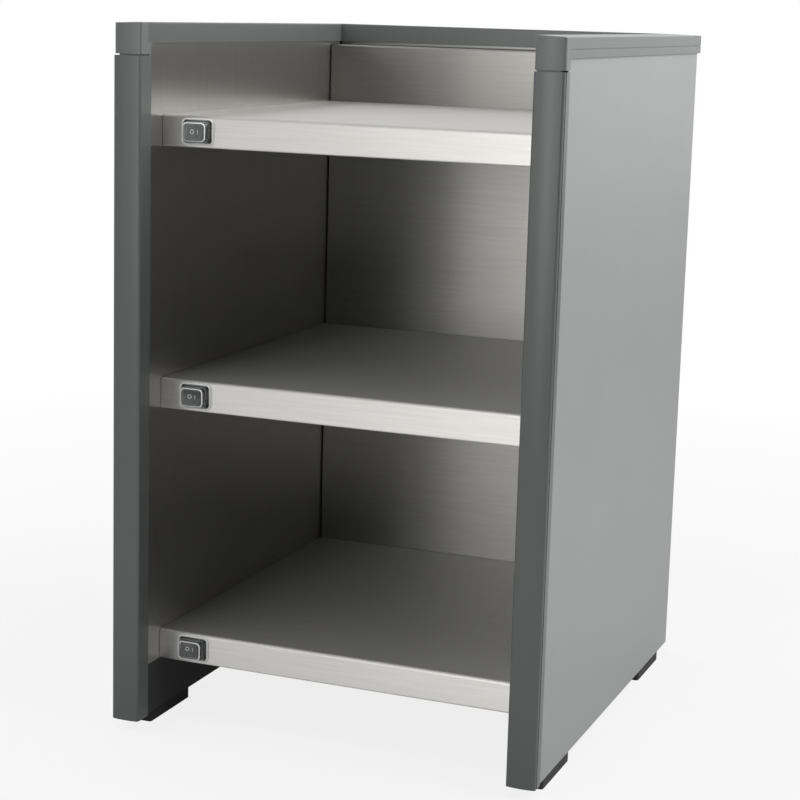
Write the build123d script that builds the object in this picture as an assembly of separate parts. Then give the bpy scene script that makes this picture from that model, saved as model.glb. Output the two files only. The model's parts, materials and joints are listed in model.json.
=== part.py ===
from build123d import *
import math
import os

# Cup warmer: three heated stainless shelves between two hollow side walls.
# Millimetres, +Z up. The front looks along -Y, and X runs to the right as seen
# from the front. Everything is drawn with y = 0 at the front of the posts and
# z = 0 on the worktop, and is moved to the middle of its box when it is written.

# Whole cabinet
overall_height = 600.0        # worktop to the top of the rails
post_span = 382.0             # across the outsides of the two front posts
panel_depth = 427.0           # front of the posts to the rear edge of the side panels
foot_height = 9.0             # lifts the walls off the worktop

# Front posts and their caps
post_width = 25.0             # also the thickness of a side wall at the front
post_depth = 19.0             # how far the post returns into the opening
post_side_depth = 13.5        # post seen from outside, up to the side panel
post_wall = 1.8
post_crown = 1.2              # bulge of the front face
post_edge_radius = 2.2
post_groove_offset = 3.4      # front of the post to its outer groove
post_groove_width = 1.8
post_groove_depth = 1.0
cap_height = 25.8
cap_gap = 1.2                 # shadow gap between cap and post
cap_setback = 1.8             # front of the post to the front of the cap
cap_wall = 3.4
cap_edge = 0.9
spigot_length = 14.0
spigot_clearance = 0.1
plug_height = 12.0            # closes the foot of each post

# Top rails and rear corners
rail_height = 17.0
top_fall = 1.0                # caps, rails and corners fall by this towards the outside
rear_overhang = 8.0           # rear rail behind the side panels
rail_wall = 1.2
rail_top = 2.0
rail_upper_strip = 9.8        # top of the rail to its outer groove
groove_width = 0.8
groove_depth = 0.7
rail_edge_radius = 1.2
rail_rib = 1.2
rail_rib_height = 4.0
corner_radius = 3.0
sheet_fit = 0.2               # sheet edges in the rails and beside each other

# Sheet metal
panel_sheet = 1.0             # painted outer panels and rear cover
liner_sheet = 0.8             # stainless inner walls
skirt_sheet = 1.0             # painted lower walls
tray_sheet = 1.0              # stainless shelves
floor_sheet = 0.8             # plates that close the shelves from below
bend_radius = 1.5             # outside of an ordinary bend
panel_flange = 14.0           # rear return of a side panel
liner_flange = 10.0           # front return of a side liner
back_flange = 12.0            # side returns of the back liner
skirt_flange = 12.0           # upstand inside the wall
wiring_space = 41.0           # face of the back liner to the rear edge of the panels
back_corner_gap = 1.4         # dark joint between the back liner and the side liners
ledge_drop = 20.0             # top of the cabinet to the ledge of the back liner

# Shelves
bottom_shelf_top = 81.0       # worktop to the bottom shelf
gallery_depth = 75.0          # top of the cabinet to the top shelf
shelf_count = 3
fascia_setback = 41.3         # front of the posts to the fascia
fascia_height = 26.5
fascia_radius = 3.0           # the bright bend at the top of the fascia
tray_side_gap = 0.3
tray_return = 13.0            # returns under the front and rear of the shelf
tray_end_inset = 18.0         # the end flanges start this far behind the fascia
heater_thickness = 1.5
heater_front = 36.0           # clear strip behind the fascia for the switch
heater_side = 46.0            # clear strip at the left for the lead
heater_margin = 14.0
thermostat_radius = 8.0
thermostat_body = 7.0
thermostat_plate_width = 32.0
thermostat_plate_depth = 11.0
thermostat_plate = 0.8
thermostat_blade = 4.8
thermostat_blade_thickness = 0.8
thermostat_clearance = 2.0    # around it in the pad's pocket

# Rocker switches
switch_inset = 33.0           # left wall to the middle of the switch
cutout_width = 19.2
cutout_height = 13.0
bezel_width = 21.0
bezel_height = 15.0
bezel_thickness = 2.0
switch_fit = 0.15             # switch body in its cut-out
switch_depth = 17.0
window_wall = 0.75
rocker_width = 14.8
rocker_side_gap = 0.2
rocker_angle = 10.0           # each half of the rocker, and half of its travel
rocker_proud = 0.6            # pressed half above the bezel
rocker_end = 5.0
pivot_depth = 1.6             # behind the fascia
trunnion_radius = 1.3
trunnion_clearance = 0.05
trunnion_wall = 0.15          # left between a trunnion's end and the cut-out
hub_radius = 2.4              # rocker behind its pivot
hub_floor_gap = 0.6

# Clear splash boots
boot_web = 0.8
boot_web_width = 29.2
boot_web_height = 21.8
boot_margin = 0.3             # web outside the foot of the dome
boot_wall = 0.8
boot_height = 8.0
boot_corner = 4.2

# Feet
foot_length = 72.0
foot_width = 21.0
foot_front_offset = 28.0      # front of the posts to the front feet
foot_rear_offset = 31.0       # rear edge of the panels to the rear feet
foot_corner = 2.5

# Mains inlet and held leads
inlet_offset = 26.4           # middle of the switches to the inlet, sideways
inlet_height = 58.0           # above the worktop
inlet_flange_width = 50.0
inlet_flange_height = 25.0
inlet_flange_thickness = 3.0
inlet_width = 27.4
inlet_body_height = 19.8
inlet_depth = 22.0
inlet_fit = 0.3
socket_width = 24.0
socket_height = 16.4
socket_depth = 16.5
pin_width = 2.0
pin_height = 4.0
pin_length = 13.5
pin_seat = 2.0
pin_spacing = 14.0
earth_rise = 4.0
block_width = 52.0
block_depth = 20.0
block_height = 20.0
block_poles = 5
block_well = 5.0
block_well_depth = 9.0
block_inset = 19.0            # rear edge of the panels to the middle of the block
lead_radius = 2.5
lead_bend = 14.0
lane_spacing = 7.0            # between the three shelf leads
grommet_clearance = 0.1
grommet_size = 9.0            # square body in square holes, with a lip each side
grommet_lip = 1.6
grommet_lip_size = 12.0

# Worked out from the sizes above
overall_depth = panel_depth + rear_overhang
wall_bottom = foot_height
post_inner = post_span / 2 - post_width
rail_outer = post_span / 2
rail_width = rail_outer - post_inner
rear_rail_inner = overall_depth - rail_width
rail_bottom = overall_height - rail_height
sheet_top = overall_height - rail_top - sheet_fit
panel_face = rail_outer - rail_wall - sheet_fit
liner_face = post_inner + rail_wall + sheet_fit
liner_setback = panel_depth - wiring_space
block_setback = panel_depth - block_inset
rebate_face = panel_face - panel_sheet - sheet_fit
cap_bottom = overall_height - cap_height
post_top = cap_bottom - cap_gap
liner_bottom = bottom_shelf_top - fascia_height
ledge_top = overall_height - ledge_drop
tray_half = liner_face - tray_side_gap
tray_rear = liner_setback - sheet_fit
shelf_pitch = (overall_height - gallery_depth - bottom_shelf_top) / (shelf_count - 1)
shelf_tops = {
    name: bottom_shelf_top + i * shelf_pitch
    for i, name in enumerate(("bottom", "middle", "top"))
}
lanes = {"bottom": 1, "middle": 0, "top": -1}
switch_x = -liner_face + switch_inset
inlet_x = switch_x + inlet_offset
foot_x = (liner_face + panel_face) / 2
foot_starts = {
    "front": foot_front_offset,
    "rear": panel_depth - foot_rear_offset - foot_length,
}


def block(x0, x1, y0, y1, z0, z1):
    """A plain box between two corners, for cuts, pads and flat sheets."""
    centre = Pos((x0 + x1) / 2, (y0 + y1) / 2, (z0 + z1) / 2)
    return centre * Box(x1 - x0, y1 - y0, z1 - z0)


def along_x(face, x0, x1):
    """Push a section drawn in (y, z) from x0 to x1."""
    section = Plane(origin=(x0, 0, 0), x_dir=(0, 1, 0), z_dir=(1, 0, 0)) * face
    return extrude(section, amount=x1 - x0, dir=(1, 0, 0))


def along_y(face, y0, y1):
    """Push a section drawn in (x, z) from y0 to y1."""
    section = Plane(origin=(0, y1, 0), x_dir=(1, 0, 0), z_dir=(0, -1, 0)) * face
    return extrude(section, amount=y1 - y0, dir=(0, -1, 0))


def along_z(face, z0, z1):
    """Push a section drawn in (x, y) from z0 to z1."""
    return extrude(Pos(0, 0, z0) * face, amount=z1 - z0, dir=(0, 0, 1))


def folded(points, sheet, side, radii=bend_radius):
    """Section of a folded sheet: points follow its outer face, metal on one side."""
    path = Wire(FilletPolyline(*points, radius=radii).edges())
    outline = path.offset_2d(sheet, kind=Kind.INTERSECTION, side=side, closed=True)
    return make_face(outline.edges())


def rod_y(radius, x, y0, y1, z):
    """A round rod or hole along Y."""
    return Pos(x, (y0 + y1) / 2, z) * Rot(90, 0, 0) * Cylinder(radius, y1 - y0)


def rod_z(radius, x, y, z0, z1):
    """A round rod or hole along Z."""
    return Pos(x, y, (z0 + z1) / 2) * Cylinder(radius, z1 - z0)


def over_top(inner, outer):
    """Section of what is cut away above a top that falls towards the outside."""
    return make_face(Polyline(
        (inner, overall_height + 1),
        (inner, overall_height),
        (outer, overall_height - top_fall),
        (outer, overall_height + 1),
        close=True,
    ))


def mirrored(shape):
    """The left-hand twin of a right-hand piece."""
    return mirror(shape, about=Plane.YZ)


# Front posts and caps
def post_outline(setback=0.0):
    """Outside of a post in plan: crowned face, stepped back for the side panel."""
    outer = post_span / 2
    edge_y = setback + post_crown
    crown = ThreePointArc(
        (post_inner, edge_y), ((post_inner + outer) / 2, setback), (outer, edge_y)
    )
    rest = Polyline(
        (outer, edge_y),
        (outer, post_side_depth),
        (rebate_face, post_side_depth),
        (rebate_face, post_depth),
        (post_inner, post_depth),
        (post_inner, edge_y),
    )
    face = make_face([crown, *rest.edges()])
    front = [v for v in face.vertices() if abs(v.Y - edge_y) < 1e-6]
    return fillet(front, post_edge_radius)


def post_bore(gap=0.0, wall=0.0):
    """Hollow of a post in plan, or the outline of what plugs it."""
    inset = post_wall + gap + wall
    x0 = post_inner + inset
    x1 = rebate_face - inset
    y0 = post_crown + inset
    y1 = post_depth - inset
    return Pos((x0 + x1) / 2, (y0 + y1) / 2) * Rectangle(x1 - x0, y1 - y0)


def front_post():
    outer = post_span / 2
    section = post_outline() - post_bore()
    groove = Pos(outer, post_groove_offset + post_groove_width / 2)
    section -= groove * Rectangle(2 * post_groove_depth, post_groove_width)
    return along_z(section, wall_bottom, post_top)


def post_plug():
    """Moulded cup pushed into the foot of a post, flush with its end."""
    cup = post_bore(spigot_clearance)
    walls = cup - post_bore(spigot_clearance, post_wall)
    base = along_z(cup, wall_bottom, wall_bottom + post_wall)
    return base + along_z(walls, wall_bottom, wall_bottom + plug_height)


def front_cap():
    """Moulded cap: plugs the post, and the side rail's end sits in its rear step."""
    skin = along_z(post_outline(cap_setback), cap_bottom, overall_height)
    seat = block(
        post_inner - 1, rail_outer + 1, post_side_depth, post_depth + 1,
        rail_bottom, overall_height + 1,
    )
    skin -= seat + along_y(over_top(post_inner, rail_outer), 0, post_side_depth)
    top = [e for e in skin.edges() if e.center().Z > overall_height - top_fall - 0.1]
    skin = fillet([e for e in top if e.center().Y < post_side_depth - 1], cap_edge)
    hollow = block(
        post_inner + cap_wall, rail_outer - cap_wall, cap_setback + cap_wall,
        post_side_depth - rail_wall, cap_bottom - 1, overall_height - rail_top - top_fall,
    )
    plug = post_bore(spigot_clearance) - post_bore(spigot_clearance, post_wall)
    spigot = along_z(plug, post_top - spigot_length, cap_bottom + rail_top)
    tongue = rail_spigot_y(post_side_depth - rail_wall, post_side_depth + spigot_length)
    return skin - hollow + spigot + tongue


# Top rails and rear corners
def rail_section(inner, direction, grips):
    """Rail in section: an upturned channel with an outer groove and grip ribs.

    inner is the coordinate of its inner face, direction is +1 or -1 away from the
    cabinet, and each grip is the coordinate where a rib starts, going outwards.
    """
    middle = inner + direction * rail_width / 2
    outer = inner + direction * rail_width
    shape = Pos(middle, rail_bottom + rail_height / 2) * Rectangle(rail_width, rail_height)
    shape -= over_top(inner, outer)
    upper = [v for v in shape.vertices() if v.Y > rail_bottom + 1]
    shape = fillet(upper, rail_edge_radius)
    channel_height = rail_height - rail_top
    channel = Pos(middle, rail_bottom + channel_height / 2)
    shape -= channel * Rectangle(rail_width - 2 * rail_wall, channel_height)
    groove_z = overall_height - rail_upper_strip - groove_width / 2
    shape -= Pos(outer, groove_z) * Rectangle(2 * groove_depth, groove_width)
    rib_z = overall_height - rail_top - rail_rib_height / 2
    for start in grips:
        rib = Pos(start + direction * rail_rib / 2, rib_z)
        shape += rib * Rectangle(rail_rib, rail_rib_height)
    return shape


def side_grips():
    """Ribs that hold the side liner and the side panel."""
    behind_liner = liner_face + liner_sheet + sheet_fit
    behind_panel = rebate_face - rail_rib
    return behind_liner, behind_panel


def rear_grips():
    """Ribs that hold the back liner's upstand and the rear cover."""
    behind_liner = back_upstand() + liner_sheet + sheet_fit
    before_cover = panel_depth - sheet_fit - rail_rib
    return behind_liner, before_cover


def back_upstand():
    return rear_rail_inner + rail_wall + sheet_fit


def spigot_span():
    """Room between the ribs of a side rail, where a corner's spigot goes."""
    behind_liner, behind_panel = side_grips()
    return behind_liner + rail_rib + spigot_clearance, behind_panel - spigot_clearance


def rail_spigot_y(y0, y1):
    x0, x1 = spigot_span()
    top = overall_height - rail_top - spigot_clearance
    return block(x0, x1, y0, y1, top - rail_rib_height, top)


def side_rail():
    return along_y(
        rail_section(post_inner, 1, side_grips()), post_side_depth, rear_rail_inner,
    )


def rear_rail():
    return along_x(
        rail_section(rear_rail_inner, 1, rear_grips()), -post_inner, post_inner,
    )


def rear_corner():
    """Moulded corner: two outer walls and a top, with a spigot into each rail."""
    side = rail_width
    plan = Pos(post_inner + side / 2, rear_rail_inner + side / 2) * Rectangle(side, side)
    outer = plan.vertices().sort_by(lambda v: v.X + v.Y)[-1]
    plan = fillet(outer, corner_radius)
    skin = along_z(plan, rail_bottom, overall_height)
    skin -= along_y(over_top(post_inner, rail_outer), rear_rail_inner, overall_depth)
    skin -= along_x(over_top(rear_rail_inner, overall_depth), post_inner, rail_outer)
    hollow = block(
        post_inner - 1, rail_outer - rail_wall, rear_rail_inner - 1,
        overall_depth - rail_wall, rail_bottom - 1, overall_height - rail_top,
    )
    ring = offset(plan, amount=1) - offset(plan, amount=-groove_depth)
    groove_top = overall_height - rail_upper_strip
    groove = along_z(ring, groove_top - groove_width, groove_top)
    inside = block(
        post_inner - 2, rail_outer - corner_radius, rear_rail_inner - 2,
        overall_depth - corner_radius, rail_bottom - 1, overall_height + 1,
    )
    y0, y1 = rear_grips()
    along_side = rail_spigot_y(rear_rail_inner - spigot_length, y1 - spigot_clearance)
    top = overall_height - rail_top
    along_rear = block(
        post_inner - spigot_length, rail_outer - corner_radius,
        y0 + rail_rib + spigot_clearance, y1 - spigot_clearance,
        top - spigot_clearance - rail_rib_height, top - spigot_clearance,
    )
    tie = block(
        post_inner + rail_rib, rail_outer - corner_radius, y0 + rail_rib + spigot_clearance,
        y1 - spigot_clearance, top - spigot_clearance - rail_rib_height, top,
    )
    return skin - hollow - (groove - inside) + along_side + along_rear + tie


# Side walls
def outer_panel():
    """Painted side panel: hooks over the post, returns behind for the rear cover."""
    points = [
        (panel_face, post_side_depth + sheet_fit),
        (panel_face, panel_depth),
        (panel_face - panel_flange, panel_depth),
    ]
    return along_z(folded(points, panel_sheet, Side.LEFT), wall_bottom, sheet_top)


def side_liner():
    """Stainless inner wall, folded in front against the post; no fold in the rail."""
    points = [
        (liner_face + liner_flange, post_depth),
        (liner_face, post_depth),
        (liner_face, rear_rail_inner),
    ]
    sheet = along_z(folded(points, liner_sheet, Side.RIGHT), liner_bottom, sheet_top)
    return sheet - block(
        liner_face + liner_sheet, liner_face + liner_flange + 1, post_depth - 1,
        post_depth + bend_radius, rail_bottom - sheet_fit, overall_height,
    )


def base_skirt():
    """Painted lower wall: one fold closes the wall below and turns up inside it."""
    outside = panel_face - panel_sheet - sheet_fit
    points = [
        (liner_face, liner_bottom - sheet_fit),
        (liner_face, wall_bottom),
        (outside, wall_bottom),
        (outside, wall_bottom + skirt_flange),
    ]
    y1 = panel_depth - panel_sheet - sheet_fit
    return along_y(folded(points, skirt_sheet, Side.LEFT), post_depth, y1)


def foot(start):
    """Moulded foot under the fold of a base skirt."""
    plan = Pos(foot_x, start + foot_length / 2) * RectangleRounded(
        foot_width, foot_length, foot_corner)
    return along_z(plan, 0, foot_height)


# Rear wall
def lane_x(name):
    return switch_x + lanes[name] * lane_spacing


def grommet_hole(name, top, y0, y1, size=grommet_size):
    """Square hole round a shelf's lead, or a slab of its grommet."""
    x = lane_x(name)
    z = top - fascia_height / 2
    return block(x - size / 2, x + size / 2, y0, y1, z - size / 2, z + size / 2)


def back_liner():
    """Stainless back: side returns, and a ledge that steps back under the rear rail."""
    half = liner_face - back_corner_gap
    points = [
        (liner_setback, liner_bottom),
        (liner_setback, ledge_top),
        (back_upstand(), ledge_top),
        (back_upstand(), sheet_top),
    ]
    sheet = along_x(folded(points, liner_sheet, Side.RIGHT), -half, half)
    for x0, x1 in ((-half, liner_sheet - half), (half - liner_sheet, half)):
        sheet += block(
            x0, x1, liner_setback, liner_setback + back_flange, liner_bottom,
            ledge_top - bend_radius,
        )
    for name, top in shelf_tops.items():
        sheet -= grommet_hole(name, top, liner_setback - 1, liner_setback + liner_sheet + 1)
    return sheet


def rear_skirt():
    """Painted lower back, folded to close the wiring space from below."""
    points = [
        (liner_setback, liner_bottom - sheet_fit),
        (liner_setback, wall_bottom),
        (panel_depth - sheet_fit, wall_bottom),
        (panel_depth - sheet_fit, wall_bottom + skirt_flange),
    ]
    half = liner_face - sheet_fit
    return along_x(folded(points, skirt_sheet, Side.LEFT), -half, half)


def inlet_plane():
    """Outside of the rear cover at the inlet; local z points out of the cabinet."""
    origin = (inlet_x, panel_depth + panel_sheet, inlet_height)
    return Plane(origin=origin, x_dir=(-1, 0, 0), z_dir=(0, 1, 0))


def back_cover():
    half = panel_face - panel_sheet - sheet_fit
    sheet = block(
        -half, half, panel_depth, panel_depth + panel_sheet,
        wall_bottom + sheet_fit, sheet_top,
    )
    window = Rectangle(inlet_width + 2 * inlet_fit, inlet_body_height + 2 * inlet_fit)
    return sheet - extrude(inlet_plane() * window, amount=2 * panel_sheet, both=True)


def mains_inlet():
    """Appliance inlet: a flange outside the cover and a housing behind it."""
    corner = inlet_flange_height / 2 - 1
    flange = extrude(
        inlet_plane() * RectangleRounded(inlet_flange_width, inlet_flange_height, corner),
        amount=inlet_flange_thickness,
    )
    housing = extrude(
        inlet_plane() * Rectangle(inlet_width, inlet_body_height), amount=-inlet_depth,
    )
    hexagon = Polyline(
        (-socket_width / 2, -socket_height / 2),
        (socket_width / 2, -socket_height / 2),
        (socket_width / 2, socket_height / 5),
        (socket_width / 2 - 5, socket_height / 2),
        (5 - socket_width / 2, socket_height / 2),
        (-socket_width / 2, socket_height / 5),
        close=True,
    )
    mouth = inlet_plane().offset(inlet_flange_thickness)
    socket = extrude(mouth * make_face(hexagon.edges()), amount=-socket_depth)
    body = flange + housing - socket
    for x, z in pin_places():
        base = pin_base()
        body -= block(
            x - pin_width / 2, x + pin_width / 2, base - pin_seat, base + 1,
            z - pin_height / 2, z + pin_height / 2,
        )
    return body


def pin_places():
    """Two live pins in a row and the earth pin above and between them."""
    low = inlet_height - earth_rise / 2
    return [
        (inlet_x - pin_spacing / 2, low),
        (inlet_x + pin_spacing / 2, low),
        (inlet_x, low + earth_rise),
    ]


def pin_base():
    return panel_depth + panel_sheet + inlet_flange_thickness - socket_depth


def inlet_pins():
    pins = []
    for x, z in pin_places():
        blade = block(
            x - pin_width / 2, x + pin_width / 2, pin_base() - pin_seat,
            pin_base() + pin_length, z - pin_height / 2, z + pin_height / 2,
        )
        tip = blade.faces().sort_by(Axis.Y)[-1].edges()
        pins.append(chamfer(tip, pin_width / 4))
    return Compound(children=pins)


# Shelves
def shelf_tray(name, top):
    """Stainless shelf: one folded sheet with the fascia, and an end flange each side."""
    low = top - fascia_height
    points = [
        (fascia_setback + tray_return, low),
        (fascia_setback, low),
        (fascia_setback, top),
        (tray_rear, top),
        (tray_rear, low),
        (tray_rear - tray_return, low),
    ]
    radii = [bend_radius, fascia_radius, bend_radius, bend_radius]
    tray = along_x(folded(points, tray_sheet, Side.RIGHT, radii), -tray_half, tray_half)
    for x0, x1 in ((-tray_half, tray_sheet - tray_half), (tray_half - tray_sheet, tray_half)):
        tray += block(
            x0, x1, fascia_setback + tray_end_inset, tray_rear - tray_end_inset,
            low + tray_sheet + sheet_fit, top - tray_sheet / 2,
        )
    middle = top - fascia_height / 2
    tray -= block(
        switch_x - cutout_width / 2, switch_x + cutout_width / 2,
        fascia_setback - 1, fascia_setback + tray_sheet + 1,
        middle - cutout_height / 2, middle + cutout_height / 2,
    )
    return tray - grommet_hole(name, top, tray_rear - 2 * tray_sheet, tray_rear + 1)


def floor_height(top):
    """Underside of the plate that closes a shelf, on the tray's returns."""
    return top - fascia_height + tray_sheet


def shelf_floor(top):
    half = tray_half - tray_sheet - sheet_fit
    z0 = floor_height(top)
    return block(
        -half, half, fascia_setback + bend_radius + sheet_fit,
        tray_rear - bend_radius - sheet_fit, z0, z0 + floor_sheet,
    )


def heater_plan():
    x0 = -liner_face + heater_side
    x1 = tray_half - heater_margin
    y0 = fascia_setback + heater_front
    y1 = tray_rear - heater_margin
    return Pos((x0 + x1) / 2, (y0 + y1) / 2) * RectangleRounded(x1 - x0, y1 - y0, 6)


def thermostat_place():
    box = heater_plan().bounding_box()
    return box.min.X + heater_margin * 3, box.min.Y + heater_margin * 3


def heater_mat(top):
    z1 = top - tray_sheet
    return along_z(heater_plan(), z1 - heater_thickness, z1)


def insulation_pad(top):
    """Wool pad that fills the shelf under the heater, with a pocket for the cut-out."""
    x, y = thermostat_place()
    z0 = floor_height(top) + floor_sheet
    z1 = top - tray_sheet - heater_thickness
    half = thermostat_plate_width / 2 + thermostat_clearance
    return along_z(heater_plan(), z0, z1) - block(
        x - half, x + half, y - half, y + half, z0 - 1, z1 + 1)


def thermostat(top):
    """Disc thermal cut-out: plate on the mat, can below it, two blade terminals."""
    x, y = thermostat_place()
    z1 = top - tray_sheet - heater_thickness
    z2 = z1 - thermostat_plate
    z3 = z2 - thermostat_body
    half = thermostat_plate_width / 2
    shape = block(
        x - half, x + half, y - thermostat_plate_depth / 2, y + thermostat_plate_depth / 2,
        z2, z1,
    )
    shape += rod_z(thermostat_radius, x, y, z3, z2)
    for side in (-1, 1):
        inner = x + side * thermostat_blade
        outer = inner + side * thermostat_blade_thickness
        shape += block(
            min(inner, outer), max(inner, outer),
            y - thermostat_blade / 2, y + thermostat_blade / 2, z3 - thermostat_blade, z3,
        )
    return shape


# Rocker switches
def switch_plane(top, proud=0.0):
    """Face of a fascia at its switch; local z points out of the cabinet."""
    origin = (switch_x, fascia_setback - proud, top - fascia_height / 2)
    return Plane(origin=origin, x_dir=(1, 0, 0), z_dir=(0, -1, 0))


def switch_body_size():
    return cutout_width - 2 * switch_fit, cutout_height - 2 * switch_fit


def window_size():
    width, height = switch_body_size()
    return width - 2 * window_wall, rocker_height() + 2 * rocker_side_gap


def rocker_height():
    return switch_body_size()[1] - 2 * window_wall - 2 * rocker_side_gap


def switch_body(top):
    """Snap-in switch: bezel, housing with latches, window and two pivot holes."""
    width, height = switch_body_size()
    front = boot_web + bezel_thickness
    bezel = extrude(
        switch_plane(top, boot_web) * Rectangle(bezel_width, bezel_height),
        amount=bezel_thickness,
    )
    bezel = chamfer(bezel.faces().sort_by(Axis.Y)[0].outer_wire().edges(), 0.4)
    housing = extrude(switch_plane(top, boot_web) * Rectangle(width, height),
                      amount=-(switch_depth + boot_web))
    latch = Polyline(
        (width / 2 - 0.2, 1.2), (width / 2 + 0.9, 1.5),
        (width / 2 - 0.2, 5.5), close=True,
    )
    wedge = along_z(
        Pos(switch_x, fascia_setback + tray_sheet - 1) * make_face(latch.edges()),
        top - fascia_height / 2 - height / 5, top - fascia_height / 2 + height / 5,
    )
    twin = mirror(wedge, about=Plane(origin=(switch_x, 0, 0), z_dir=(1, 0, 0)))
    floor = pivot_depth + math.sqrt(2) * hub_radius + hub_floor_gap
    window = extrude(
        switch_plane(top, front) * Rectangle(*window_size()), amount=-(front + floor))
    middle = top - fascia_height / 2
    pivots = rod_z(
        trunnion_radius + trunnion_clearance, switch_x, fascia_setback + pivot_depth,
        middle - height / 2 + trunnion_wall, middle + height / 2 - trunnion_wall,
    )
    return bezel + housing + wedge + twin - window - pivots


def rocker(top):
    """Two-way rocker on its trunnions, resting with the left half pressed."""
    angle = math.radians(rocker_angle)
    front = boot_web + bezel_thickness + rocker_proud + pivot_depth
    middle_front = front / math.cos(angle)
    end_front = middle_front + math.tan(angle) * rocker_width / 2
    half = rocker_width / 2
    outline = Polyline(
        (-half, -end_front), (0, -middle_front), (half, -end_front),
        (half, rocker_end - end_front), (hub_radius, hub_radius),
        (-hub_radius, hub_radius), (-half, rocker_end - end_front), close=True,
    )
    half_height = rocker_height() / 2
    paddle = along_z(make_face(outline.edges()), -half_height, half_height)
    ends = paddle.edges().filter_by(Axis.Z).filter_by(
        lambda edge: abs(edge.center().Y + end_front) < 1e-3)
    paddle = fillet(ends, 0.5)
    reach = switch_body_size()[1] / 2 - 2 * trunnion_wall
    pins = rod_z(trunnion_radius, 0, 0, -reach, reach)
    at_pivot = Pos(switch_x, fascia_setback + pivot_depth, top - fascia_height / 2)
    return at_pivot * Rot(0, 0, -rocker_angle) * (paddle + pins)


def switch_boot(top):
    """Clear splash boot: its web is trapped behind the bezel, its dome covers all."""
    width = boot_web_width - 2 * boot_margin
    height = boot_web_height - 2 * boot_margin
    dome = extrude(RectangleRounded(width, height, boot_corner), amount=boot_height)
    hollow = RectangleRounded(
        width - 2 * boot_wall, height - 2 * boot_wall, boot_corner - boot_wall)
    shell = dome - extrude(hollow, amount=boot_height - boot_wall)
    ring = RectangleRounded(boot_web_width, boot_web_height, boot_corner + boot_margin)
    ring -= Rectangle(cutout_width, cutout_height)
    web = extrude(ring, amount=boot_web)
    return switch_plane(top) * (shell + web)


# Leads and their fittings
def lead(points):
    """A held lead: straight runs joined by arcs."""
    route = FilletPolyline(*points, radius=lead_bend)
    start = Plane(origin=route @ 0, z_dir=route % 0)
    return sweep(start * Circle(lead_radius), path=route)


def block_top():
    return wall_bottom + skirt_sheet + block_height


def shelf_lead(name, top):
    x = lane_x(name)
    z = top - fascia_height / 2
    return lead([
        (x, fascia_setback + switch_depth, z),
        (x, block_setback, z),
        (x, block_setback, block_top()),
    ])


def block_ends():
    """The block reaches from the outer shelf lead towards the inlet."""
    x0 = lane_x("top") - lane_spacing
    return x0, x0 + block_width


def inlet_lead():
    """Short held lead, straight down from the inlet's housing to the block."""
    return rod_z(lead_radius, inlet_x, block_setback, block_top(),
                 inlet_height - inlet_body_height / 2)


def terminal_block():
    """Terminal strip on the floor of the wiring space, one screw well for each pole."""
    x0, x1 = block_ends()
    y0 = block_setback - block_depth / 2
    z0 = wall_bottom + skirt_sheet
    strip = block(x0, x1, y0, y0 + block_depth, z0, block_top())
    upper = strip.edges().filter_by(Axis.X).group_by(Axis.Z)[-1]
    strip = chamfer(upper, 3)
    pitch = block_width / block_poles
    for i in range(block_poles):
        x = x0 + (i + 0.5) * pitch
        strip -= block(
            x - block_well / 2, x + block_well / 2, y0 - 1, y0 + block_well_depth,
            z0 + block_height / 2 - block_well / 2, z0 + block_height / 2 + block_well / 2,
        )
    return strip


def lead_grommets():
    """Square grommets through the rear of each shelf and the back liner."""
    grommets = []
    inside = tray_rear - tray_sheet
    outside = liner_setback + liner_sheet
    for name, top in shelf_tops.items():
        shape = grommet_hole(name, top, inside, outside)
        shape += grommet_hole(name, top, inside - grommet_lip, inside, grommet_lip_size)
        shape += grommet_hole(name, top, outside, outside + grommet_lip, grommet_lip_size)
        bore = lead_radius + grommet_clearance
        middle = top - fascia_height / 2
        shape -= rod_y(bore, lane_x(name), inside - grommet_lip - 1, outside + grommet_lip + 1, middle)
        grommets.append(shape)
    return Compound(children=grommets)


def pairs():
    """Right-hand pieces and their left-hand twins."""
    right = {
        "front_post": front_post(),
        "front_cap": front_cap(),
        "post_plug": post_plug(),
        "top_rail": side_rail(),
        "rear_corner": rear_corner(),
        "outer_panel": outer_panel(),
        "liner": side_liner(),
        "base_skirt": base_skirt(),
        "front_foot": foot(foot_starts["front"]),
        "rear_foot": foot(foot_starts["rear"]),
    }
    both = {}
    for name, shape in right.items():
        both["right_" + name] = shape
        both["left_" + name] = mirrored(shape)
    return both


def shelves():
    """All that belongs to each of the three shelves."""
    pieces = {}
    for name, top in shelf_tops.items():
        pieces[name + "_shelf_tray"] = shelf_tray(name, top)
        pieces[name + "_shelf_floor"] = shelf_floor(top)
        pieces[name + "_heater_mat"] = heater_mat(top)
        pieces[name + "_insulation_pad"] = insulation_pad(top)
        pieces[name + "_thermostat"] = thermostat(top)
        pieces[name + "_switch_body"] = switch_body(top)
        pieces[name + "_switch_boot"] = switch_boot(top)
        pieces[name + "_rocker"] = rocker(top)
        pieces[name + "_shelf_lead"] = shelf_lead(name, top)
    return pieces


def rear_wall():
    return {
        "rear_top_rail": rear_rail(),
        "back_liner": back_liner(),
        "rear_base_skirt": rear_skirt(),
        "back_cover": back_cover(),
        "mains_inlet": mains_inlet(),
        "inlet_pins": inlet_pins(),
        "terminal_block": terminal_block(),
        "inlet_lead": inlet_lead(),
        "lead_grommets": lead_grommets(),
    }


os.makedirs("parts", exist_ok=True)
to_centre = Pos(0, -overall_depth / 2, 0)
for node, shape in {**pairs(), **shelves(), **rear_wall()}.items():
    export_step(to_centre * shape, "parts/" + node + ".step")
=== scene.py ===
import json
import math

import bmesh
import bpy
from mathutils import Matrix, Vector


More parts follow.
